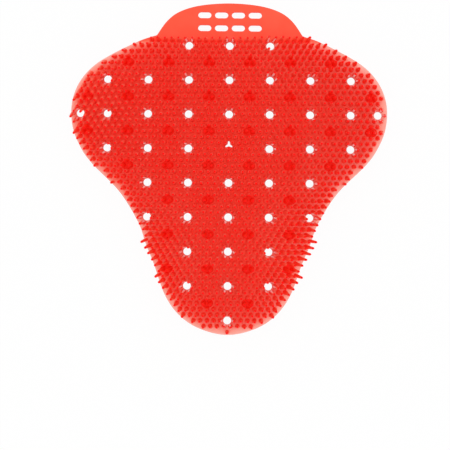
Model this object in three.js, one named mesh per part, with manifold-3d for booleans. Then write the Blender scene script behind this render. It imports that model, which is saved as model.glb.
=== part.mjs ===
// A urinal deodorizer screen, moulded in one piece of soft translucent plastic.
// A flat plate carries close rows of tapered bristles on top, round drain holes through it,
// domed feet beneath it and a smooth grip tab at its wide end.
// Millimetres, +Z up. The origin is on the floor under the middle of the plate's outline, the tab is at +Y.
import * as THREE from 'three';
import { mergeVertices } from 'three/addons/utils/BufferGeometryUtils.js';
import Module from 'manifold-3d';

// Overall size of the plate with its tab
const WIDTH = 180;
const LENGTH = 189;

// Right half of the outline, [x, y], in shares of half the width and half the length.
// Each run is a smooth curve through its points. The body's run goes from the tail's tip to the tab's corner.
const BODY_SIDE = [
  [0, -1], [0.168, -0.966], [0.298, -0.889], [0.394, -0.766], [0.467, -0.578], [0.52, -0.456],
  [0.568, -0.329], [0.689, -0.145], [0.867, 0.026], [0.943, 0.128], [0.993, 0.253], [0.996, 0.399],
  [0.939, 0.533], [0.82, 0.644], [0.59, 0.761], [0.463, 0.804],
];
// The tab's run goes on from that corner to the middle of its top edge
const TAB_SIDE = [[0.397, 0.892], [0.316, 0.949], [0.186, 0.986], [0, 1]];
// The plate is widest, and the grid of holes has its middle row, at this share of half the length
const WIDEST_AT = 0.328;
const STEPS_PER_SPAN = 3;

// The plate, and how high the feet hold it over the floor
const PLATE_THICKNESS = 2;
const FLOOR_GAP = 5.1;

// The bristles stand on staggered rows, counted from the row through the grid's middle
const BRISTLE_PITCH = 3.85;
const BRISTLE_ROW = 3.26;
const BRISTLE_HEIGHT = 15.2;
const BRISTLE_ROOT = 3.2;
const BRISTLE_MARGIN = 1.2;
const MAT_CLEARANCE = 0.1;
// Between the bristles the mat rises this much over the plate, so that no two faces lie in one another
const MAT_RISE = 0.02;

// Holes and feet share one grid, spaced in bristle pitches and rows, with the feet between the holes
const GRID_PITCHES = 6;
const GRID_ROWS = 6;
const GRID_MARGIN = 5;
const HOLE_DIAMETER = 4.5;
const HOLE_SIDES = 6;

// The moulding gate takes this place of the grid: a bristle stands on it, with a small opening behind it
const GATE_COLUMN = 0;
const GATE_ROW = -1;
const GATE_OPENING = 2;

// Plain slots through the tab, in a block whose middle lies this far from the tab's top edge
const SLOT_BLOCK_DEPTH = 10.5;
const SLOT_ROWS = 2;
const SLOTS_PER_ROW = 4;
const SLOT_LENGTH = 7.6;
const SLOT_WIDTH = 3.6;
const SLOT_PITCH_X = 9.6;
const SLOT_PITCH_Y = 7.4;
const SLOT_END_SEGMENTS = 5;

const FOOT_DIAMETER = 5.6;
const FOOT_FLAT = 1.4;
const FOOT_SIDES = 6;
const FOOT_DOME_STEPS = 2;

// How far the tips lean from their roots: everywhere a little, and more in patches pressed by handling,
// each with its middle in shares of half the width and half the length
const LEAN = [0, -1.1];
const LEAN_PATCHES = [
  { at: [0.5, -0.54], reach: 26, lean: [3.8, 0] },
  { at: [0.97, 0.3], reach: 30, lean: [-1.5, -0.5] },
  { at: [-0.5, -0.54], reach: 26, lean: [-2.3, -0.5] },
  { at: [-0.94, 0.43], reach: 30, lean: [-0.5, -3.1] },
  { at: [0.33, 0.75], reach: 20, lean: [1.1, 1] },
  { at: [0, -1], reach: 25, lean: [0, 1.4] },
];

const halfWidth = WIDTH / 2;
const halfLength = LENGTH / 2;
const gridMiddleY = WIDEST_AT * halfLength;
const plateTop = FLOOR_GAP + PLATE_THICKNESS;
const plateMiddle = FLOOR_GAP + PLATE_THICKNESS / 2;
const cutDepth = PLATE_THICKNESS * 2;

const wasm = await Module();
wasm.setup();

// Turns a closed geometry into a solid
function solid(geometry) {
  const bare = geometry.clone();
  bare.deleteAttribute('normal');
  bare.deleteAttribute('uv');
  const merged = mergeVertices(bare, 1e-5);
  return new wasm.Manifold(new wasm.Mesh({
    numProp: 3,
    vertProperties: new Float32Array(merged.attributes.position.array),
    triVerts: new Uint32Array(merged.index.array),
  }));
}

// Turns a solid back into a geometry
function geometryOf(body) {
  const mesh = body.getMesh();
  const geometry = new THREE.BufferGeometry();
  geometry.setAttribute('position', new THREE.BufferAttribute(mesh.vertProperties, 3));
  geometry.setIndex(new THREE.BufferAttribute(mesh.triVerts, 1));
  geometry.computeVertexNormals();
  return geometry;
}

// Joins many solids, pair by pair
function joinAll(bodies) {
  let round = bodies;
  while (round.length > 1) {
    const next = [];
    for (let i = 0; i < round.length; i += 2) {
      next.push(i + 1 < round.length ? round[i].add(round[i + 1]) : round[i]);
    }
    round = next;
  }
  return round[0];
}

// A smooth run through a half outline's points and their mirror copies
function mirroredRun(side, middleFirst) {
  const right = side.map(([x, y]) => new THREE.Vector2(x, y));
  const left = side.map(([x, y]) => new THREE.Vector2(-x, y)).reverse();
  const points = middleFirst ? [...left, ...right.slice(1)] : [...right, ...left.slice(1)];
  return new THREE.SplineCurve(points).getPoints((points.length - 1) * STEPS_PER_SPAN);
}

// The whole outline, counterclockwise from the left corner of the tab, stretched to the overall width
function outlinePoints() {
  const corner = BODY_SIDE[BODY_SIDE.length - 1];
  const body = mirroredRun(BODY_SIDE, true);
  const tab = mirroredRun([corner, ...TAB_SIDE], false);
  const shares = [...body, ...tab.slice(1, -1)];
  const widest = Math.max(...shares.map((share) => share.x));
  return shares.map((share) => new THREE.Vector2(share.x * halfWidth / widest, share.y * halfLength));
}

const outline = outlinePoints();

// Distance from a point to the outline, negative outside it
function roomAround(x, y) {
  let nearest = Infinity;
  let inside = false;
  outline.forEach((a, i) => {
    const b = outline[(i + 1) % outline.length];
    const along = new THREE.Vector2().subVectors(b, a);
    const to = new THREE.Vector2(x - a.x, y - a.y);
    const t = THREE.MathUtils.clamp(to.dot(along) / along.lengthSq(), 0, 1);
    nearest = Math.min(nearest, to.addScaledVector(along, -t).length());
    if ((a.y > y) !== (b.y > y) && x < a.x + (b.x - a.x) * (y - a.y) / (b.y - a.y)) inside = !inside;
  });
  return inside ? nearest : -nearest;
}

// How far a bristle's tip lies from its root, seen from above
function leanAt(x, y) {
  return LEAN_PATCHES.reduce((sum, patch) => {
    const away = Math.hypot(x - patch.at[0] * halfWidth, y - patch.at[1] * halfLength);
    const share = Math.exp(-((away / patch.reach) ** 2));
    return [sum[0] + share * patch.lean[0], sum[1] + share * patch.lean[1]];
  }, LEAN);
}

const rowY = (row) => gridMiddleY + row * BRISTLE_ROW;
const siteX = (row, column) => (column + (row % 2 ? 0.5 : 0)) * BRISTLE_PITCH;

// The field runs from the tail's tip to just short of the line between the tab's two corners
const tabY = BODY_SIDE[BODY_SIDE.length - 1][1] * halfLength;
const lastRow = Math.floor((tabY - BRISTLE_MARGIN - gridMiddleY) / BRISTLE_ROW);
const tailRow = Math.ceil((BRISTLE_MARGIN - halfLength - gridMiddleY) / BRISTLE_ROW);
const reach = Math.ceil(halfWidth / BRISTLE_PITCH);

// Points of the grid that the outline leaves room for, shifted by half a cell for the feet
function gridPoints(shift) {
  const points = [];
  for (let j = Math.floor(tailRow / GRID_ROWS); (j + shift) * GRID_ROWS <= lastRow; j++) {
    for (let i = -reach; i <= reach; i++) {
      const x = (i + shift) * GRID_PITCHES * BRISTLE_PITCH;
      const y = rowY((j + shift) * GRID_ROWS);
      if (roomAround(x, y) >= GRID_MARGIN) points.push({ x, y, column: i, row: j });
    }
  }
  return points;
}

// One more hole on each side takes the outermost bristle place of the grid's middle row that has the room
function sideHoles() {
  const x = Math.floor((halfWidth - GRID_MARGIN) / BRISTLE_PITCH) * BRISTLE_PITCH;
  return [{ x, y: rowY(0) }, { x: -x, y: rowY(0) }];
}

const footPoints = gridPoints(0.5);
const drainPoints = gridPoints(0).filter(({ column, row }) => column !== GATE_COLUMN || row !== GATE_ROW);
const holePoints = [...drainPoints, ...sideHoles()];
const onHole = (x, y) => holePoints.some((hole) => Math.hypot(hole.x - x, hole.y - y) < BRISTLE_PITCH / 2);

// Every place where a bristle stands. The tail's last row has a single one.
function bristleSites() {
  const sites = [];
  for (let row = tailRow; row <= lastRow; row++) {
    for (let column = -reach; column <= reach; column++) {
      const x = siteX(row, column);
      const y = rowY(row);
      const room = roomAround(x, y);
      const wanted = row > tailRow || Math.abs(x) < BRISTLE_PITCH / 2;
      if (wanted && room >= BRISTLE_MARGIN && !onHole(x, y)) sites.push({ row, column, x, y, room });
    }
  }
  return sites;
}

// The plate with its tab
function plate() {
  const options = { depth: PLATE_THICKNESS, bevelEnabled: false };
  const slab = new THREE.ExtrudeGeometry(new THREE.Shape(outline), options);
  return solid(slab.translate(0, 0, FLOOR_GAP));
}

// Corners of the three-sided root of the bristle at a place: right, back, left.
// Neighbouring roots meet at these corners.
function rootCorners(row, column) {
  const x = siteX(row, column);
  const y = rowY(row);
  return [
    [x + BRISTLE_PITCH / 2, y - BRISTLE_ROW / 3],
    [x, y + 2 * BRISTLE_ROW / 3],
    [x - BRISTLE_PITCH / 2, y - BRISTLE_ROW / 3],
  ];
}

// Bristles with room for such a root stand in the mat, the others each have a root of their own
const rootReach = Math.hypot(BRISTLE_PITCH / 2, BRISTLE_ROW / 3) + MAT_CLEARANCE;

// The flat triangles between roots: each lies between two neighbours in a row and the one behind them,
// and is filled where two of these three stand
function flatTiles(sites) {
  const standing = new Set(sites.map(({ row, column }) => `${row},${column}`));
  const tiles = [];
  for (let row = tailRow - 1; row <= lastRow; row++) {
    for (let column = -reach - 1; column <= reach; column++) {
      const behind = row % 2 ? column + 1 : column;
      const around = [`${row},${column}`, `${row},${column + 1}`, `${row + 1},${behind}`];
      if (around.filter((place) => standing.has(place)).length < 2) continue;
      const [meeting, leftBack] = rootCorners(row, column);
      const rightBack = rootCorners(row, column + 1)[1];
      tiles.push({ corners: [meeting, rightBack, leftBack] });
    }
  }
  return tiles;
}

// The bristles away from the edge as one closed mat. Each root triangle rises to a tip, the triangles
// between roots lie on the plate's top, and the mat's underside is inside the plate.
function bristleMat(sites) {
  const points = [];
  const indexAt = new Map();
  const keyOf = (x, y, z) => [x, y, z].map((value) => Math.round(value * 1000)).join();
  const vertex = (x, y, z) => {
    const key = keyOf(x, y, z);
    if (!indexAt.has(key)) {
      indexAt.set(key, points.length / 3);
      points.push(x, y, z);
    }
    return indexAt.get(key);
  };
  const raised = sites.map(({ row, column, x, y }) => {
    const [dx, dy] = leanAt(x, y);
    return { corners: rootCorners(row, column), tip: vertex(x + dx, y + dy, plateTop + BRISTLE_HEIGHT) };
  });

  const triangles = [];
  const rimEdges = new Map();
  [...raised, ...flatTiles(sites)].forEach(({ corners, tip }) => {
    const top = corners.map(([x, y]) => vertex(x, y, plateTop));
    const under = corners.map(([x, y]) => vertex(x, y, plateMiddle));
    triangles.push(under[0], under[2], under[1]);
    if (tip === undefined) triangles.push(...top);
    [0, 1, 2].forEach((k) => {
      const next = (k + 1) % 3;
      if (tip !== undefined) triangles.push(top[k], top[next], tip);
      if (!rimEdges.delete(`${top[next]},${top[k]}`)) {
        const wall = [under[k], under[next], top[next], under[k], top[next], top[k]];
        rimEdges.set(`${top[k]},${top[next]}`, wall);
      }
    });
  });
  rimEdges.forEach((wall) => triangles.push(...wall));

  const rim = new Set([...rimEdges.values()].flat());
  for (let i = 0; i < points.length / 3; i++) {
    if (points[3 * i + 2] === plateTop && !rim.has(i)) points[3 * i + 2] += MAT_RISE;
  }

  const geometry = new THREE.BufferGeometry();
  geometry.setAttribute('position', new THREE.BufferAttribute(new Float32Array(points), 3));
  geometry.setIndex(triangles);
  return solid(geometry);
}

// One bristle near the edge, on a root of its own that stays inside the outline
function edgeBristle({ x, y, room }) {
  const root = Math.min(BRISTLE_ROOT / 2, room);
  const spike = new THREE.ConeGeometry(root, BRISTLE_HEIGHT + PLATE_THICKNESS / 2, 3);
  spike.rotateX(Math.PI / 2).translate(x, y, (plateMiddle + plateTop + BRISTLE_HEIGHT) / 2);
  const [dx, dy] = leanAt(x, y);
  const position = spike.attributes.position;
  for (let i = 0; i < position.count; i++) {
    if (position.getZ(i) > plateTop) position.setXY(i, x + dx, y + dy);
  }
  return solid(spike);
}

// One foot: a short post with a domed end that has a small flat at its lowest point
function foot({ x, y }) {
  const radius = FOOT_DIAMETER / 2;
  const profile = [new THREE.Vector2(0, plateMiddle), new THREE.Vector2(radius, plateMiddle)];
  const domeEnd = Math.acos(FOOT_FLAT / FOOT_DIAMETER);
  const lowest = radius * Math.sin(domeEnd);
  for (let i = 0; i <= FOOT_DOME_STEPS; i++) {
    const turn = domeEnd * i / FOOT_DOME_STEPS;
    profile.push(new THREE.Vector2(radius * Math.cos(turn), lowest - radius * Math.sin(turn)));
  }
  profile.push(new THREE.Vector2(0, 0));
  const post = new THREE.LatheGeometry(profile.reverse(), FOOT_SIDES);
  return solid(post.rotateX(Math.PI / 2).translate(x, y, 0));
}

// A cutter for one hole, with the true round hole's area in spite of its few sides
function holeCutter(diameter, x, y) {
  const swell = Math.sqrt(2 * Math.PI / (HOLE_SIDES * Math.sin(2 * Math.PI / HOLE_SIDES)));
  const radius = swell * diameter / 2;
  const cutter = new THREE.CylinderGeometry(radius, radius, cutDepth, HOLE_SIDES);
  return solid(cutter.rotateX(Math.PI / 2).rotateZ(Math.PI / 2).translate(x, y, plateMiddle));
}

// The gate's opening lies in the flat triangle between three roots
function gateOpening() {
  const x = GATE_COLUMN * GRID_PITCHES * BRISTLE_PITCH;
  return holeCutter(GATE_OPENING, x, rowY(GATE_ROW * GRID_ROWS) + 2 * BRISTLE_ROW / 3);
}

function drainHoles() {
  return [...holePoints.map(({ x, y }) => holeCutter(HOLE_DIAMETER, x, y)), gateOpening()];
}

// Cutters for the tab's slots, each with round ends
function tabSlots() {
  const round = SLOT_WIDTH / 2;
  const straight = (SLOT_LENGTH - SLOT_WIDTH) / 2;
  const shape = new THREE.Shape();
  shape.absarc(straight, 0, round, -Math.PI / 2, Math.PI / 2);
  shape.absarc(-straight, 0, round, Math.PI / 2, 3 * Math.PI / 2);
  const options = { depth: cutDepth, bevelEnabled: false, curveSegments: SLOT_END_SEGMENTS };
  const slot = new THREE.ExtrudeGeometry(shape, options).translate(0, 0, plateMiddle - cutDepth / 2);
  const cutters = [];
  for (let row = 0; row < SLOT_ROWS; row++) {
    for (let i = 0; i < SLOTS_PER_ROW; i++) {
      const x = (i - (SLOTS_PER_ROW - 1) / 2) * SLOT_PITCH_X;
      const y = halfLength - SLOT_BLOCK_DEPTH + (row - (SLOT_ROWS - 1) / 2) * SLOT_PITCH_Y;
      cutters.push(solid(slot.clone().translate(x, y, 0)));
    }
  }
  return cutters;
}

function screen() {
  const sites = bristleSites();
  const matSites = sites.filter((site) => site.room > rootReach);
  const edgeSites = sites.filter((site) => site.room <= rootReach);
  const feet = footPoints.map(foot);
  const body = joinAll([plate(), bristleMat(matSites), ...feet, ...edgeSites.map(edgeBristle)]);
  return geometryOf(body.subtract(joinAll([...drainHoles(), ...tabSlots()])));
}

const softRed = new THREE.MeshStandardMaterial({ color: 0xf7321f, roughness: 0.35, metalness: 0 });
const moulding = new THREE.Mesh(screen(), softRed);
moulding.name = 'screen';

const part = new THREE.Group();
part.name = 'urinal_screen';
part.add(moulding);

export default part;
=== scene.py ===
# The looks of a one-piece urinal screen of soft translucent red plastic: plate, bristles, drain holes,
# feet and a grip tab, in metres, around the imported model.
import math

import bpy
import numpy as np
from bpy.props import FloatProperty, FloatVectorProperty, PointerProperty
from mathutils import Euler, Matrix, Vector
from mathutils.geometry import delaunay_2d_cdt


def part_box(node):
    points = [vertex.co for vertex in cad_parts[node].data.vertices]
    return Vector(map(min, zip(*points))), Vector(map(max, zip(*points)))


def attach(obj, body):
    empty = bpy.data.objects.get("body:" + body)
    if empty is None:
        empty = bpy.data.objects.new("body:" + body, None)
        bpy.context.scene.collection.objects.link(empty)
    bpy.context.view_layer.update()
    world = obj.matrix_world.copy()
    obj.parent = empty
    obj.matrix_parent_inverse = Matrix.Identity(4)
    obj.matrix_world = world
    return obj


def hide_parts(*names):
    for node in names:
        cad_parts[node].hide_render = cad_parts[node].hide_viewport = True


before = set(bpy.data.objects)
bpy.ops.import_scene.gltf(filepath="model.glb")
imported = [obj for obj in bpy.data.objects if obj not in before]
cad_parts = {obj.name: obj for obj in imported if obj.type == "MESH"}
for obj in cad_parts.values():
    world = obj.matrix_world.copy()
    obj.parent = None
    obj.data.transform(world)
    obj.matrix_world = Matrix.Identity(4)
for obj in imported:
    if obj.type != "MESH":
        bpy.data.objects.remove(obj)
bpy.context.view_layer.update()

bl_info = {
    "name": "Urinal Screen",
    "version": (1, 0, 0),
    "blender": (4, 5, 0),
    "location": "3D View > Sidebar > Screen",
    "description": "Makes a one-piece urinal screen with bristles, drain holes, feet and a grip tab",
    "category": "Add Mesh",
}

MM = 0.001
CAD_LOW, CAD_HIGH = (np.array(corner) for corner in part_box("screen"))
HALF_WIDTH, HALF_LENGTH = (CAD_HIGH - CAD_LOW)[:2] / 2
TOTAL_HEIGHT = float(CAD_HIGH[2])

# Right half of the outline in shares of half the width and half the length: the body's run from the
# tail's tip to the tab's corner, and the tab's run from there to the middle of its top edge
BODY_SIDE = [
    (0, -1), (0.168, -0.966), (0.298, -0.889), (0.394, -0.766), (0.467, -0.578), (0.52, -0.456),
    (0.568, -0.329), (0.689, -0.145), (0.867, 0.026), (0.943, 0.128), (0.993, 0.253), (0.996, 0.399),
    (0.939, 0.533), (0.82, 0.644), (0.59, 0.761), (0.463, 0.804),
]
TAB_SIDE = [(0.397, 0.892), (0.316, 0.949), (0.186, 0.986), (0, 1)]
TAB_CORNER = np.array(BODY_SIDE[-1])
WIDEST_AT = 0.328
COARSE_STEPS = 3
FINE_STEPS = 9

# Holes and feet share a grid of this many bristle pitches and rows
GRID_PITCHES = 6
GRID_ROWS = 6
GATE_ROW = -1
SLOT_ROWS = 2
SLOTS_PER_ROW = 4

# Lean of the bristle tips in millimetres: everywhere a little, and more in patches pressed by handling,
# each with its middle in shares of half the width and half the length
LEAN = (0, -1.1)
LEAN_PATCHES = [
    ((0.5, -0.54), 26, (3.8, 0)),
    ((0.97, 0.3), 30, (-1.5, -0.5)),
    ((-0.5, -0.54), 26, (-2.3, -0.5)),
    ((-0.94, 0.43), 30, (-0.5, -3.1)),
    ((0.33, 0.75), 20, (1.1, 1)),
    ((0, -1), 25, (0, 1.4)),
]

BRISTLE_SIDES = 8
HOLE_SIDES = 24
FOOT_SIDES = 16
SLOT_END_STEPS = 8
GATE_STEPS = 36
SHARP_ANGLE = math.radians(45)
ROOT_CLEARANCE = 0.05 * MM
# Loop points of a flat sheet that lie closer than this count as one
MERGE_DISTANCE = 1e-9
LEAN_SEED = 5
FOOT_DOME_STEPS = 4


def length(name, description, millimetres):
    """A length setting whose default is given in millimetres."""
    return FloatProperty(name=name, description=description, default=millimetres * MM, min=0,
                         subtype="DISTANCE", unit="LENGTH", precision=5)


def share(name, description, default):
    """A setting between 0 and 1."""
    return FloatProperty(name=name, description=description, default=default, min=0, max=1,
                         subtype="FACTOR")


def colour(name, description, default):
    """A colour setting, linear red, green and blue."""
    return FloatVectorProperty(name=name, description=description, default=default, size=3,
                               min=0, max=1, subtype="COLOR")


class PlateSettings(bpy.types.PropertyGroup):
    """Sizes of the plate and of what goes through it."""
    floor_gap: length("Floor gap", "Height of the plate's underside over the floor", 5.1)
    thickness: length("Thickness", "Thickness of the plate", 2)
    rim_round: length("Rim rounding", "Radius along the plate's outer edges", 0.3)
    hole_diameter: length("Hole diameter", "Width of a round drain hole", 4.5)
    grid_margin: length("Grid margin", "Least distance from a hole's or foot's middle to the edge", 5)
    gate_reach: length("Gate reach", "How far the gate's three-lobed opening reaches", 2.3)
    gate_waist: length("Gate waist", "Its radius between two lobes", 0.9)


class TabSettings(bpy.types.PropertyGroup):
    """Sizes of the plain slots through the tab."""
    block_depth: length("Block depth", "From the tab's top edge to the middle of the slots", 10.5)
    slot_length: length("Slot length", "Overall length of a slot", 7.6)
    slot_width: length("Slot width", "Width of a slot", 3.6)
    pitch_x: length("Pitch across", "Distance between slots in a row", 9.6)
    pitch_y: length("Pitch along", "Distance between the rows of slots", 7.4)


class BristleSettings(bpy.types.PropertyGroup):
    """Sizes of the tapered bristles on the plate."""
    pitch: length("Pitch", "Distance between bristles in a row", 3.85)
    row: length("Row spacing", "Distance between rows", 3.26)
    margin: length("Margin", "Least distance from a bristle's middle to the plate's edge", 1.2)
    root_radius: length("Root radius", "Radius where a bristle stands on the plate", 1.48)
    middle_radius: length("Middle radius", "Radius halfway up", 1.0)
    tip_radius: length("Tip radius", "Radius at the shoulder of the rounded tip", 0.68)
    unevenness: length("Unevenness", "Spread of the tips around their even places", 0.14)


class FootSettings(bpy.types.PropertyGroup):
    """Sizes of the domed feet."""
    diameter: length("Diameter", "Width of a foot", 5.6)
    flat: length("Flat", "Width of the small flat at its lowest point", 1.4)


class FinishSettings(bpy.types.PropertyGroup):
    """The soft red plastic."""
    clear: colour("Thin colour", "Colour of a very thin sheet of the plastic", (0.995, 0.93, 0.93))
    deep: colour("Deep colour", "Colour of a thick block of the plastic", (0.997, 0.001, 0.0005))
    green_loss: FloatProperty(name="Green loss", description="Green absorbed by each millimetre",
                              default=1.1, min=0)
    blue_loss: FloatProperty(name="Blue loss", description="Blue absorbed by each millimetre",
                             default=1.45, min=0)
    roughness: share("Roughness", "Roughness of the moulded surface", 0.48)
    polish: share("Polish", "Roughness of the bristles around the holes", 0.2)
    shine: share("Shine", "Strength of the surface's mirror-like part", 0.2)


class StageSettings(bpy.types.PropertyGroup):
    """The floor, the light and the camera."""
    floor_colour: colour("Floor colour", "Colour of the floor", (0.9, 0.9, 0.9))
    floor_glow: share("Floor whiteness", "How much of the floor's brightness is free of shadow", 0.95)
    sky: FloatProperty(name="Sky", description="Strength of the even light", default=0.95, min=0)
    lamp: FloatProperty(name="Lamp", description="Strength of the overhead lamp", default=0.3, min=0)
    lens: FloatProperty(name="Lens", description="Focal length for a 36 mm sensor", default=112.1,
                        min=1, subtype="DISTANCE_CAMERA", unit="CAMERA")


# Shapes


def spline(points, steps):
    """A uniform Catmull-Rom curve with its end points doubled: on each span, a cubic through both its
    points whose slope at a point is half the way between that point's two neighbours."""
    points = np.asarray(points, float)
    padded = np.concatenate([points[:1], points, points[-1:]])
    before, start, end, after = (padded[k:len(points) - 1 + k, None] for k in range(4))
    t = (np.arange(steps) / steps)[None, :, None]
    slope_in, slope_out = (end - before) / 2, (after - start) / 2
    curve = ((2 * start - 2 * end + slope_in + slope_out) * t ** 3
             + (-3 * start + 3 * end - 2 * slope_in - slope_out) * t ** 2 + slope_in * t + start)
    return np.concatenate([curve.reshape(-1, 2), points[-1:]])


def outline(steps):
    """The plate's outline, counterclockwise from the tab's left corner: the body's run and its mirror
    copy, then the tab's, stretched so that the widest point lies at half the width."""
    mirror = np.array([-1, 1])
    body = np.array(BODY_SIDE)
    tab = np.concatenate([[TAB_CORNER], TAB_SIDE])
    body_run = spline(np.concatenate([body[:0:-1] * mirror, body]), steps)
    tab_run = spline(np.concatenate([tab, tab[-2::-1] * mirror]), steps)
    shares = np.concatenate([body_run, tab_run[1:-1]])
    return shares * [HALF_WIDTH / shares[:, 0].max(), HALF_LENGTH]


def inset(loop, distance):
    """A closed loop moved inwards: each point goes along the mean of its two sides' normals, by the
    distance over the cosine of half the turn there."""
    side = np.roll(loop, -1, axis=0) - loop
    normal = np.stack([-side[:, 1], side[:, 0]], axis=1) / np.linalg.norm(side, axis=1)[:, None]
    mean = normal + np.roll(normal, 1, axis=0)
    return loop + distance * 2 * mean / (mean ** 2).sum(axis=1)[:, None]


def inside(loop, points):
    """True where a ray from the point towards +X crosses the loop an odd number of times."""
    a, b = loop, np.roll(loop, -1, axis=0)
    x, y = points[:, None, 0], points[:, None, 1]
    crosses = (a[:, 1] > y) != (b[:, 1] > y)
    rise = np.where(b[:, 1] == a[:, 1], 1, b[:, 1] - a[:, 1])
    return (crosses & (x < a[:, 0] + (b[:, 0] - a[:, 0]) * (y - a[:, 1]) / rise)).sum(axis=1) % 2 == 1


def room(loop, points):
    """Distance from each point to the nearest side of the loop, negative outside it."""
    a, along = loop, np.roll(loop, -1, axis=0) - loop
    to = points[:, None] - a
    t = np.clip((to * along).sum(axis=2) / (along ** 2).sum(axis=1), 0, 1)
    nearest = np.linalg.norm(to - t[..., None] * along, axis=2).min(axis=1)
    return np.where(inside(loop, points), nearest, -nearest)


def directions(turn):
    """Points of a unit circle at the given angles."""
    return np.stack([np.cos(turn), np.sin(turn)], axis=1)


def circle(sides):
    """Points spread evenly round a unit circle, counterclockwise."""
    return directions(2 * np.pi * np.arange(sides) / sides)


def stadium(length_over_all, width):
    """A slot's outline: two half circles joined by straight sides."""
    turn = np.linspace(-np.pi / 2, np.pi / 2, SLOT_END_STEPS + 1)
    end = directions(turn) * width / 2
    shift = [(length_over_all - width) / 2, 0]
    return np.concatenate([end + shift, -end - shift])


def gate_loop(waist, reach):
    """The gate's three-lobed opening: its radius goes from the waist to the reach with the square of
    (1 + cos 3a) / 2, where a is the angle from the back."""
    turn = 2 * np.pi * np.arange(GATE_STEPS) / GATE_STEPS
    radius = waist + (reach - waist) * ((1 + np.cos(3 * (turn - np.pi / 2))) / 2) ** 2
    return directions(turn) * radius[:, None]


class Layout:
    """Where the bristles, holes, feet and slots stand, all in metres."""

    def __init__(self, scene):
        plate, bristles, tab = scene.screen_plate, scene.screen_bristles, scene.screen_tab
        self.pitch, self.row, self.margin = bristles.pitch, bristles.row, bristles.margin
        self.grid_margin = plate.grid_margin
        self.middle_y = WIDEST_AT * HALF_LENGTH
        self.edge = outline(COARSE_STEPS)
        tab_y = TAB_CORNER[1] * HALF_LENGTH
        self.last_row = math.floor((tab_y - self.margin - self.middle_y) / self.row)
        self.tail_row = math.ceil((self.margin - HALF_LENGTH - self.middle_y) / self.row)
        self.reach = math.ceil(HALF_WIDTH / self.pitch)
        self.feet = self.grid(0.5)
        gate = np.array([0, self.middle_y + GATE_ROW * GRID_ROWS * self.row])
        drains = self.grid(0)
        drains = drains[np.linalg.norm(drains - gate, axis=1) > self.pitch / 2]
        side = math.floor((HALF_WIDTH - self.grid_margin) / self.pitch) * self.pitch
        self.holes = np.concatenate([drains, [[side, self.middle_y], [-side, self.middle_y]]])
        # The gate lies evenly between the three bristles around it
        self.gate = gate + [0, 2 * self.row / 3]
        self.slots = self.slot_middles(tab)
        self.sites = self.bristle_sites()

    def grid(self, shift):
        """Grid points with enough room around them, shifted by a share of a cell."""
        j = np.arange(math.floor(self.tail_row / GRID_ROWS), math.ceil(self.last_row / GRID_ROWS) + 1)
        i = np.arange(-self.reach, self.reach + 1)
        j = j[(j + shift) * GRID_ROWS <= self.last_row]
        x, y = np.meshgrid((i + shift) * GRID_PITCHES * self.pitch,
                           self.middle_y + (j + shift) * GRID_ROWS * self.row)
        points = np.stack([x.ravel(), y.ravel()], axis=1)
        return points[room(self.edge, points) >= self.grid_margin]

    def bristle_sites(self):
        """Places on staggered rows that have room and no hole. The tail's last row has a single one."""
        rows = np.arange(self.tail_row, self.last_row + 1)
        columns = np.arange(-self.reach, self.reach + 1)
        column, row = np.meshgrid(columns, rows)
        x = (column + 0.5 * (row % 2)) * self.pitch
        points = np.stack([x.ravel(), (self.middle_y + row * self.row).ravel()], axis=1)
        around = room(self.edge, points)
        to_hole = np.linalg.norm(points[:, None] - self.holes, axis=2).min(axis=1)
        wanted = (row.ravel() > self.tail_row) | (np.abs(points[:, 0]) < self.pitch / 2)
        keep = wanted & (around >= self.margin) & (to_hole > self.pitch / 2)
        return points[keep]

    def slot_middles(self, tab):
        """Middles of the tab's slots, in even rows around the middle of their block."""
        across = (np.arange(SLOTS_PER_ROW) - (SLOTS_PER_ROW - 1) / 2) * tab.pitch_x
        along = (np.arange(SLOT_ROWS) - (SLOT_ROWS - 1) / 2) * tab.pitch_y
        x, y = np.meshgrid(across, HALF_LENGTH - tab.block_depth + along)
        return np.stack([x.ravel(), y.ravel()], axis=1)


def leans(points):
    """How far each tip lies from its root: the even lean, and for each patch its own lean times
    exp(-(distance / reach)^2)."""
    total = np.tile(np.array(LEAN, float) * MM, (len(points), 1))
    for at, reach, lean in LEAN_PATCHES:
        away = np.linalg.norm(points - np.array(at) * [HALF_WIDTH, HALF_LENGTH], axis=1)
        total += np.exp(-(away / (reach * MM)) ** 2)[:, None] * np.array(lean) * MM
    return total


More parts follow.
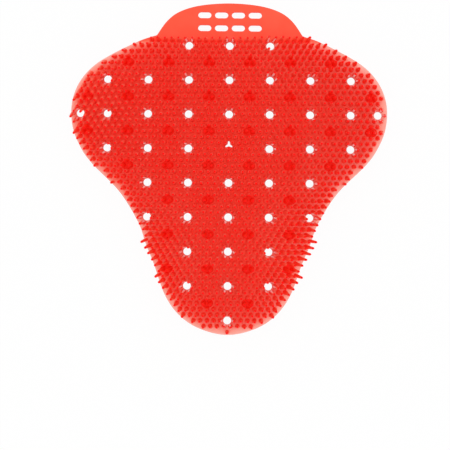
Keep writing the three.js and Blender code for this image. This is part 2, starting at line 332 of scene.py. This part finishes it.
class Skin:
    """Collects points, each with a depth in millimetres that sets its colour, partly the plastic behind it
    and partly painted light and shade, and the faces between them. A ring is an array of point numbers,
    counterclockwise from above, along its last axis."""

    def __init__(self):
        self.points, self.depths, self.triangles, self.quads = [], [], [], []
        self.count = 0

    def add(self, flat, z, depth):
        """Adds points at [x, y] and a height, and returns their numbers."""
        flat = np.asarray(flat, float)
        shape = flat.shape[:-1]
        height = np.broadcast_to(z, shape)
        self.points.append(np.concatenate([flat, height[..., None]], axis=-1).reshape(-1, 3))
        self.depths.append(np.broadcast_to(depth, shape).ravel())
        numbers = self.count + np.arange(math.prod(shape)).reshape(shape)
        self.count += numbers.size
        return numbers

    def band(self, lower, upper):
        """Quads between two rings, facing outwards from their middle when upper is above lower."""
        lower_next, upper_next = np.roll(lower, -1, axis=-1), np.roll(upper, -1, axis=-1)
        self.quads.append(np.stack([lower, lower_next, upper_next, upper], axis=-1).reshape(-1, 4))

    def cap(self, ring, middle):
        """Triangles from rings to one point each, facing up."""
        middle = np.broadcast_to(middle[..., None], ring.shape)
        fan = np.stack([ring, np.roll(ring, -1, axis=-1), middle], axis=-1)
        self.triangles.append(fan.reshape(-1, 3))

    def flat_sheet(self, rim, openings, facing_up):
        """Triangles of a flat sheet inside its rim and outside its openings, as a constrained
        triangulation through their points. A triangle with all its corners on one opening fills it and
        is left out. Round the last opening, the gate, which is hollow between its lobes, such a
        triangle is left out only where its middle is inside."""
        loops = [rim.reshape(1, -1)] + [ring.reshape(-1, ring.shape[-1]) for ring in openings]
        numbers = np.concatenate([loop.ravel() for loop in loops])
        start = np.cumsum([0] + [loop.size for loop in loops])
        edges, owner = [], np.zeros(len(numbers), int)
        loop_count = 0
        for loop, first in zip(loops, start):
            local = first + np.arange(loop.size).reshape(loop.shape)
            edges.append(np.stack([local, np.roll(local, -1, axis=-1)], axis=-1).reshape(-1, 2))
            owner[local] = loop_count + np.arange(len(loop))[:, None]
            loop_count += len(loop)
        flat = np.concatenate(self.points)[numbers, :2]
        result = delaunay_2d_cdt(flat.tolist(), np.concatenate(edges).tolist(), [], 1, MERGE_DISTANCE)
        if len(result[0]) != len(flat):
            raise RuntimeError("loops of a flat sheet touch each other")
        faces = np.array(result[2])
        corners = flat[faces]
        on = owner[faces]
        fills = (on == on[:, :1]).all(axis=1) & (on[:, 0] > 0)
        last = fills & (on[:, 0] == loop_count - 1)
        fills[last] = inside(flat[owner == loop_count - 1], corners[last].mean(axis=1))
        faces = faces[~fills]
        a, b, c = (flat[faces[:, k]] for k in range(3))
        area = (b - a)[:, 0] * (c - a)[:, 1] - (b - a)[:, 1] * (c - a)[:, 0]
        turned = (area > 0) != facing_up
        faces[turned] = faces[turned][:, ::-1]
        self.triangles.append(numbers[faces])

    def mesh(self, name, layout):
        """The collected faces as one mesh, with its depths and its nearness to feet and holes."""
        points = np.concatenate(self.points)
        triangles, quads = np.concatenate(self.triangles), np.concatenate(self.quads)
        corners = np.concatenate([triangles.ravel(), quads.ravel()])
        starts = np.concatenate([3 * np.arange(len(triangles)),
                                 triangles.size + 4 * np.arange(len(quads))])
        mesh = bpy.data.meshes.new(name)
        mesh.vertices.add(len(points))
        mesh.vertices.foreach_set("co", points.ravel())
        mesh.loops.add(len(corners))
        mesh.loops.foreach_set("vertex_index", corners.astype(np.int32))
        mesh.polygons.add(len(starts))
        mesh.polygons.foreach_set("loop_start", starts.astype(np.int32))
        mesh.update(calc_edges=True)
        if mesh.validate():
            raise RuntimeError(f"{name} has faulty faces")
        flat = points[:, :2]
        for attribute, values in (("plastic_depth", np.concatenate(self.depths)),
                                  ("near_foot", nearness(flat, layout.feet, FOOT_NEARNESS)),
                                  ("near_hole", nearness(flat, layout.holes, HOLE_NEARNESS))):
            mesh.attributes.new(attribute, "FLOAT", "POINT").data.foreach_set("value", values)
        mesh.shade_smooth()
        mesh.set_sharp_from_angle(angle=SHARP_ANGLE)
        return mesh


# Depths in millimetres that set how red each part of the surface looks: partly the depth of plastic behind
# it, partly painted light and shade standing in for light passing through the translucent plastic
RIM_DEPTH = 0.55
RIM_SIDE_DEPTH = 2.6
TAB_DEPTH = 2.05
WEB_DEPTH = 1.65
# The tip's ring is painted darkest, shade as seen down a bristle's length, and its end lighter, a painted
# glow of light carried up the bristle
PAINTED_TIP_SHADE_DEPTH = 5.5
PAINTED_TIP_GLOW_DEPTH = 4.2
UNDER_DEPTH = 2.6
# A bristle's flank lies in its neighbours' shadow, so it is given painted light: paler inside than at the
# edge
FLANK_DEPTH = 1.2
EDGE_FLANK_DEPTH = 2.2
# Over what distance from the edge the plate and the bristles' flanks change from their edge depth; on the
# plate this is painted light near the edge, reaching further on the right side as if lit from there
EDGE_FADE_LEFT = 5 * MM
WEB_FADE_RIGHT = 30 * MM
FLANK_FADE_RIGHT = 15 * MM
# The tab's depth starts this many rows after the last row of bristles
TAB_START = -0.4
# Painted shade of the feet seen through the plate: only the ovals of real feet are dark, within this
# distance of a foot's middle
FOOT_NEARNESS = 7 * MM
# The bristles within this distance of a hole's middle are smoother, so that small glints show there
HOLE_NEARNESS = 4.6 * MM


def painted_light_edge_mask(layout, flat, fade_right):
    """Mask for the painted light and shade that change from the edge inwards: 1 at the edge and
    exp(-distance / fade) inwards, where the fade changes from left to right, longer on the right.
    """
    rightness = (flat[:, 0] / HALF_WIDTH + 1) / 2
    fade = EDGE_FADE_LEFT + (fade_right - EDGE_FADE_LEFT) * rightness
    return np.exp(-np.maximum(room(layout.edge, flat), 0) / fade)


def web_depth_with_painted_light(layout, points):
    """The plate's depth at each point: painted light makes it thin at the rim and painted shade makes it
    deeper inwards, as the bristles shade it, with the tab's own depth from the last row of bristles on."""
    flat = points.reshape(-1, 2)
    depth = WEB_DEPTH + (RIM_DEPTH - WEB_DEPTH) * painted_light_edge_mask(layout, flat, WEB_FADE_RIGHT)
    on_tab = flat[:, 1] > layout.middle_y + (layout.last_row + TAB_START) * layout.row
    return np.where(on_tab, TAB_DEPTH, depth).reshape(points.shape[:-1])


def side_depth(flat_depth, turn):
    """The depth on the rim's round: the flat's depth where the rim turns into it, and the side's depth
    halfway down, mixed by the cosine of the turn to the fourth power."""
    return flat_depth + (RIM_SIDE_DEPTH - flat_depth) * math.cos(turn) ** 4


def nearness(points, middles, reach):
    """1 for points with one of the middles within the reach, seen from above, else 0."""
    return (np.linalg.norm(points[:, None] - middles, axis=2).min(axis=1) < reach) * 1.0


def make_bristles(skin, layout, settings, top, flat_edge, gate_waist):
    """Bristles as rings around leaning axes: at height z over the plate, the middle is the root plus the
    lean times (z / height)^1.5. Roots stay inside the edge of the plate's flat top and clear of the
    gate. Each row of the table holds a ring's share of the height, radius and depth. Returns the root
    rings."""
    height = TOTAL_HEIGHT - top
    to_gate = np.linalg.norm(layout.sites - layout.gate, axis=1) - gate_waist
    root = np.minimum(room(flat_edge, layout.sites), to_gate) - ROOT_CLEARANCE
    root = np.minimum(settings.root_radius, root)
    draw = np.random.default_rng(LEAN_SEED)
    lean = leans(layout.sites) + draw.normal(0, settings.unevenness, layout.sites.shape)
    tip = np.full(len(root), settings.tip_radius)
    # Painted light: the flanks are paler inside than at the edge
    at_edge = painted_light_edge_mask(layout, layout.sites, FLANK_FADE_RIGHT)[:, None]
    flank_depth = FLANK_DEPTH + (EDGE_FLANK_DEPTH - FLANK_DEPTH) * at_edge
    shape = [
        (0.0, root, None),
        (0.02, root * 0.94, flank_depth),
        (0.5, np.minimum(root, settings.middle_radius), flank_depth),
        (0.935, np.minimum(root, tip * 1.06), flank_depth),
        # Painted shade on the tip's shoulder
        (0.945, np.minimum(root, tip * 1.04), PAINTED_TIP_SHADE_DEPTH),
        (0.99, tip * 0.74, PAINTED_TIP_SHADE_DEPTH),
    ]
    rings = []
    for share_up, radius, depth in shape:
        middle = layout.sites + lean * share_up ** 1.5
        ring = middle[:, None] + radius[:, None, None] * circle(BRISTLE_SIDES)
        if depth is None:
            depth = web_depth_with_painted_light(layout, ring)
        rings.append(skin.add(ring, top + height * share_up, depth))
    for lower, upper in zip(rings, rings[1:]):
        skin.band(lower, upper)
    # The tip's middle point carries the painted glow
    tips = skin.add(layout.sites + lean, TOTAL_HEIGHT, PAINTED_TIP_GLOW_DEPTH)
    skin.cap(rings[-1], tips)
    return rings[0]


def make_feet(skin, layout, settings, under):
    """Feet as short posts with a round end: the end's rings lie on a sphere of the foot's radius, cut by
    its flat. Returns the rings at the plate."""
    radius = settings.diameter / 2
    dome_end = math.acos(settings.flat / settings.diameter)
    lowest = radius * math.sin(dome_end)
    turns = dome_end * np.arange(FOOT_DOME_STEPS + 1) / FOOT_DOME_STEPS
    dome = [(radius * math.cos(turn), lowest - radius * math.sin(turn)) for turn in turns]
    rings = []
    for ring_radius, z in [(radius, under)] + dome:
        ring = layout.feet[:, None] + ring_radius * circle(FOOT_SIDES)
        rings.append(skin.add(ring, z, UNDER_DEPTH))
    for upper, lower in zip(rings, rings[1:]):
        skin.band(lower, upper)
    skin.cap(rings[-1][:, ::-1], skin.add(layout.feet, 0, UNDER_DEPTH))
    return rings[0]


def make_moulding(scene):
    """The whole screen as one closed mesh: two flat sheets joined by the rim and the openings' walls,
    with bristles growing from the upper one and feet from the lower one."""
    plate, tab = scene.screen_plate, scene.screen_tab
    layout, skin = Layout(scene), Skin()
    under, top = plate.floor_gap, plate.floor_gap + plate.thickness
    edge = outline(FINE_STEPS)

    rim = []
    for turn in np.radians([-90, -60, -30, 0]):
        loop = inset(edge, plate.rim_round * (1 - math.cos(turn)))
        z = under + plate.rim_round * (1 + math.sin(turn))
        rim.append(skin.add(loop, z, side_depth(UNDER_DEPTH, turn)))
    for turn in np.radians([0, 30, 60, 90]):
        loop = inset(edge, plate.rim_round * (1 - math.cos(turn)))
        z = top - plate.rim_round * (1 - math.sin(turn))
        rim.append(skin.add(loop, z, side_depth(web_depth_with_painted_light(layout, loop), turn)))
    for lower, upper in zip(rim, rim[1:]):
        skin.band(lower, upper)

    walls = []
    slot = stadium(tab.slot_length, tab.slot_width)
    gate = gate_loop(plate.gate_waist, plate.gate_reach)
    for middles, loop in ((layout.holes, circle(HOLE_SIDES) * plate.hole_diameter / 2),
                          (layout.slots, slot), (layout.gate[None], gate)):
        rings = middles[:, None] + loop
        lower = skin.add(rings, under, UNDER_DEPTH)
        upper = skin.add(rings, top, web_depth_with_painted_light(layout, rings))
        skin.band(upper, lower)
        walls.append((lower, upper))

    roots = make_bristles(skin, layout, scene.screen_bristles, top, inset(edge, plate.rim_round),
                          plate.gate_waist)
    feet = make_feet(skin, layout, scene.screen_feet, under)
    uppers, lowers = [upper for _, upper in walls], [lower for lower, _ in walls]
    skin.flat_sheet(rim[-1], [roots] + uppers, True)
    skin.flat_sheet(rim[0], [feet] + lowers, False)
    return skin.mesh("screen_moulding", layout)


# Materials


class Value:
    """A number carried by a socket. Python's operators on it add Math nodes."""

    def __init__(self, nodes, socket):
        self.nodes, self.socket = nodes, socket

    def _math(self, operation, first, second):
        return self.nodes.add("ShaderNodeMath", {"operation": operation}, {0: first, 1: second})

    def __add__(self, other):
        return self._math("ADD", self, other)

    def __sub__(self, other):
        return self._math("SUBTRACT", self, other)

    def __mul__(self, other):
        return self._math("MULTIPLY", self, other)

    def __rsub__(self, other):
        return self._math("SUBTRACT", other, self)

    __radd__ = __add__
    __rmul__ = __mul__


class Nodes:
    """A node tree that is filled by one method."""

    def __init__(self, tree):
        self.tree = tree
        tree.nodes.clear()

    def add(self, kind, settings=None, inputs=None, output=0):
        """Adds a node of a type, sets its settings first and then its inputs, and returns an output."""
        node = self.tree.nodes.new(kind)
        for name, value in (settings or {}).items():
            if name == "stops":
                self.set_stops(node.color_ramp, value)
            else:
                setattr(node, name, value)
        for name, value in (inputs or {}).items():
            if isinstance(value, Value):
                self.tree.links.new(value.socket, node.inputs[name])
            else:
                node.inputs[name].default_value = value
        return Value(self, node.outputs[output]) if node.outputs else None

    @staticmethod
    def set_stops(ramp, stops):
        """Gives a colour ramp its (position, colour) stops."""
        while len(ramp.elements) < len(stops):
            ramp.elements.new(1)
        for element, (position, rgb) in zip(ramp.elements, stops):
            element.position = position
            element.color = (*rgb, 1)


# The colour ramp reaches to this depth in millimetres
DEEPEST = 6.0
RAMP_STOPS = 13
# How much the slight clouds change the depth, in millimetres, and the roughness
CLOUD_DEPTH = 0.5
CLOUD_ROUGHNESS = 0.08
# Half widths of the painted dark oval, the shade that a foot and its two nearest bristles make together
# seen through the plate
FOOT_SHADE_X = 3.5 * MM
FOOT_SHADE_Y = 2.7 * MM


def plastic_colours(finish):
    """The plastic's colour against its depth d in millimetres, as ramp stops: each channel goes from the
    clear to the deep colour with exp(-loss d), the red one with the mean of the other two losses."""
    clear, deep = np.array(finish.clear), np.array(finish.deep)
    loss = np.array([(finish.green_loss + finish.blue_loss) / 2, finish.green_loss, finish.blue_loss])
    position = np.linspace(0, 1, RAMP_STOPS)
    rgb = deep + (clear - deep) * np.exp(-loss * position[:, None] * DEEPEST)
    return list(zip(position.tolist(), rgb.tolist()))


def painted_foot_shade(nodes, place, bristles):
    """Mask of painted shade: 1 where a foot or a bristle that stands on it lies beneath the surface,
    fading to 0 over its edge: (x / a)^2 + (y / b)^2 from the middle of the grid's cell, kept only near a
    real foot."""
    cell = (GRID_PITCHES * bristles.pitch, GRID_ROWS * bristles.row)
    start = (0, WIDEST_AT * HALF_LENGTH)
    away = 0
    for axis, half in enumerate((FOOT_SHADE_X, FOOT_SHADE_Y)):
        along = nodes.add("ShaderNodeSeparateXYZ", {}, {0: place}, axis)
        turns = (along - start[axis]) * (1 / cell[axis])
        within = nodes.add("ShaderNodeMath", {"operation": "FRACT"}, {0: turns})
        offset = (within - 0.5) * (cell[axis] / half)
        away = offset * offset + away
    near = nodes.add("ShaderNodeAttribute", {"attribute_name": "near_foot"}, output="Fac")
    inner = nodes.add("ShaderNodeMapRange", {"interpolation_type": "SMOOTHSTEP"},
                      {"Value": away, "From Min": 1.2, "From Max": 0.8})
    return inner * near


def soft_red(finish, bristles):
    """Soft translucent red plastic, redder the greater its depth value, which also carries painted light
    and shade, with painted shade over the feet, slight clouds and a fine satin grain.
    """
    material = bpy.data.materials.new("soft_red_plastic")
    material.use_nodes = True
    nodes = Nodes(material.node_tree)
    place = nodes.add("ShaderNodeTexCoord", output="Object")
    own = nodes.add("ShaderNodeAttribute", {"attribute_name": "plastic_depth"}, output="Fac")
    # Painted shade: over a foot the colour is made at least as deep as the underside's
    foot = painted_foot_shade(nodes, place, bristles)
    over = nodes.add("ShaderNodeMath", {"operation": "MAXIMUM"}, {0: UNDER_DEPTH - own, 1: 0.0})
    depth = own + foot * over
    clouds = nodes.add("ShaderNodeTexNoise", {"noise_dimensions": "3D"},
                       {"Vector": place, "Scale": 90.0, "Detail": 3.0, "Roughness": 0.5}, "Fac")
    grain = nodes.add("ShaderNodeTexNoise", {"noise_dimensions": "3D"},
                      {"Vector": place, "Scale": 2600.0, "Detail": 1.0}, "Fac")
    tint = nodes.add("ShaderNodeValToRGB", {"stops": plastic_colours(finish)},
                     {"Fac": (depth + (clouds - 0.5) * CLOUD_DEPTH) * (1 / DEEPEST)})
    bump = nodes.add("ShaderNodeBump", {}, {"Strength": 0.12, "Distance": 0.05 * MM, "Height": grain})
    smooth = nodes.add("ShaderNodeAttribute", {"attribute_name": "near_hole"}, output="Fac")
    roughness = (finish.roughness + clouds * CLOUD_ROUGHNESS
                 - smooth * (finish.roughness - finish.polish))
    surface = nodes.add("ShaderNodeBsdfPrincipled", {}, {
        "Base Color": tint, "Roughness": roughness, "Normal": bump,
        "Specular IOR Level": finish.shine,
    })
    nodes.add("ShaderNodeOutputMaterial", {}, {"Surface": surface})
    return material


def seen_directly(nodes):
    """1 for rays of the camera, of mirror-like reflections and of transmission, else 0."""
    rays = [nodes.add("ShaderNodeLightPath", output=name)
            for name in ("Is Camera Ray", "Is Glossy Ray", "Is Transmission Ray")]
    return nodes.add("ShaderNodeClamp", {}, {"Value": rays[0] + rays[1] + rays[2]})


def floor_material(settings):
    """Pale matt floor. Where it is seen directly, most of its brightness is an even white that a shadow
    only tones down."""
    material = bpy.data.materials.new("pale_floor")
    material.use_nodes = True
    nodes = Nodes(material.node_tree)
    matt = nodes.add("ShaderNodeBsdfDiffuse", {}, {"Color": (*settings.floor_colour, 1)})
    white = nodes.add("ShaderNodeEmission", {}, {"Color": (1, 1, 1, 1), "Strength": 1.0})
    mix = nodes.add("ShaderNodeMixShader", {}, {
        0: seen_directly(nodes) * settings.floor_glow, 1: matt, 2: white,
    })
    nodes.add("ShaderNodeOutputMaterial", {}, {"Surface": mix})
    return material


# Operators


class MESH_OT_screen_moulding(bpy.types.Operator):
    """Make the one-piece screen with its bristles, holes, feet and tab"""
    bl_idname = "mesh.screen_moulding"
    bl_label = "Screen Moulding"

    def execute(self, context):
        mesh = make_moulding(context.scene)
        mesh.materials.append(soft_red(context.scene.screen_finish, context.scene.screen_bristles))
        piece = bpy.data.objects.new("screen_moulding", mesh)
        context.collection.objects.link(piece)
        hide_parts("screen")
        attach(piece, "root")
        return {"FINISHED"}


# The camera looks down on the bristles, with the plan view's place in metres and turn in degrees
CAMERA_PLACE = (0.09 * MM, -50.16 * MM, 803.96 * MM)
CAMERA_TILT = 1.3
CAMERA_SIDE_TILT = 0.12
CAMERA_ROLL = 0.546
FLOOR_SIZE = 4
# The lamp's height in metres, then its spread, lean and heading in degrees
LAMP_HEIGHT = 1.6
LAMP_WIDTH = 30
LAMP_LEAN = 12
LAMP_FROM = -35
# Light finds its way down between bristles and out again over many bounces
LIGHT_BOUNCES = 28


class SCENE_OT_screen_stage(bpy.types.Operator):
    """Make the floor, the light and the camera"""
    bl_idname = "scene.screen_stage"
    bl_label = "Screen Stage"

    def execute(self, context):
        scene = context.scene
        settings = scene.screen_stage
        scene.view_settings.view_transform = "Standard"
        scene.cycles.diffuse_bounces = LIGHT_BOUNCES
        scene.cycles.max_bounces = LIGHT_BOUNCES
        self.make_camera(scene, settings)
        self.make_floor(context, settings)
        self.make_light(context, settings)
        return {"FINISHED"}

    def make_camera(self, scene, settings):
        """The photograph's view: straight down but for small tilts, with a long lens."""
        camera = bpy.data.cameras.new("plan_camera")
        camera.lens = settings.lens
        camera.clip_end = 10
        holder = bpy.data.objects.new("plan_camera", camera)
        holder.location = CAMERA_PLACE
        turn = [math.radians(angle) for angle in (CAMERA_TILT, CAMERA_SIDE_TILT, CAMERA_ROLL)]
        holder.rotation_euler = Euler(turn, "XYZ")
        scene.collection.objects.link(holder)
        scene.camera = holder

    def make_floor(self, context, settings):
        """A level sheet at the feet's lowest points."""
        half = FLOOR_SIZE / 2
        corners = [(-half, -half, 0), (half, -half, 0), (half, half, 0), (-half, half, 0)]
        mesh = bpy.data.meshes.new("floor")
        mesh.from_pydata(corners, [], [(0, 1, 2, 3)])
        mesh.materials.append(floor_material(settings))
        floor = bpy.data.objects.new("floor", mesh)
        context.collection.objects.link(floor)

    def make_light(self, context, settings):
        """An even white sky and one broad lamp, high up behind the right side."""
        world = bpy.data.worlds.new("pale_sky")
        world.use_nodes = True
        context.scene.world = world
        nodes = Nodes(world.node_tree)
        seen = seen_directly(nodes)
        strength = seen + (1 - seen) * settings.sky
        sky = nodes.add("ShaderNodeBackground", {}, {"Color": (1, 1, 1, 1), "Strength": strength})
        nodes.add("ShaderNodeOutputWorld", {}, {"Surface": sky})
        light = bpy.data.lights.new("overhead_lamp", "SUN")
        light.energy = settings.lamp
        light.angle = math.radians(LAMP_WIDTH)
        lamp = bpy.data.objects.new("overhead_lamp", light)
        lamp.location = (0, 0, LAMP_HEIGHT)
        lamp.rotation_euler = Euler([math.radians(angle) for angle in (-LAMP_LEAN, 0, LAMP_FROM)], "XYZ")
        context.collection.objects.link(lamp)


class VIEW3D_PT_screen(bpy.types.Panel):
    """Lists the screen's operators and settings."""
    bl_label = "Urinal Screen"
    bl_space_type = "VIEW_3D"
    bl_region_type = "UI"
    bl_category = "Screen"

    def draw(self, context):
        layout = self.layout
        layout.operator(MESH_OT_screen_moulding.bl_idname)
        layout.operator(SCENE_OT_screen_stage.bl_idname)
        for name in SETTINGS:
            group = getattr(context.scene, name)
            box = layout.box()
            for field in group.__annotations__:
                box.prop(group, field)


SETTINGS = {
    "screen_plate": PlateSettings,
    "screen_tab": TabSettings,
    "screen_bristles": BristleSettings,
    "screen_feet": FootSettings,
    "screen_finish": FinishSettings,
    "screen_stage": StageSettings,
}
CLASSES = (*SETTINGS.values(), MESH_OT_screen_moulding, SCENE_OT_screen_stage, VIEW3D_PT_screen)


def register():
    for cls in CLASSES:
        bpy.utils.register_class(cls)
    for name, cls in SETTINGS.items():
        setattr(bpy.types.Scene, name, PointerProperty(type=cls))


def unregister():
    for name in SETTINGS:
        delattr(bpy.types.Scene, name)
    for cls in reversed(CLASSES):
        bpy.utils.unregister_class(cls)


def main():
    register()
    bpy.ops.scene.screen_stage()
    bpy.ops.mesh.screen_moulding()


if __name__ == "__main__":
    main()
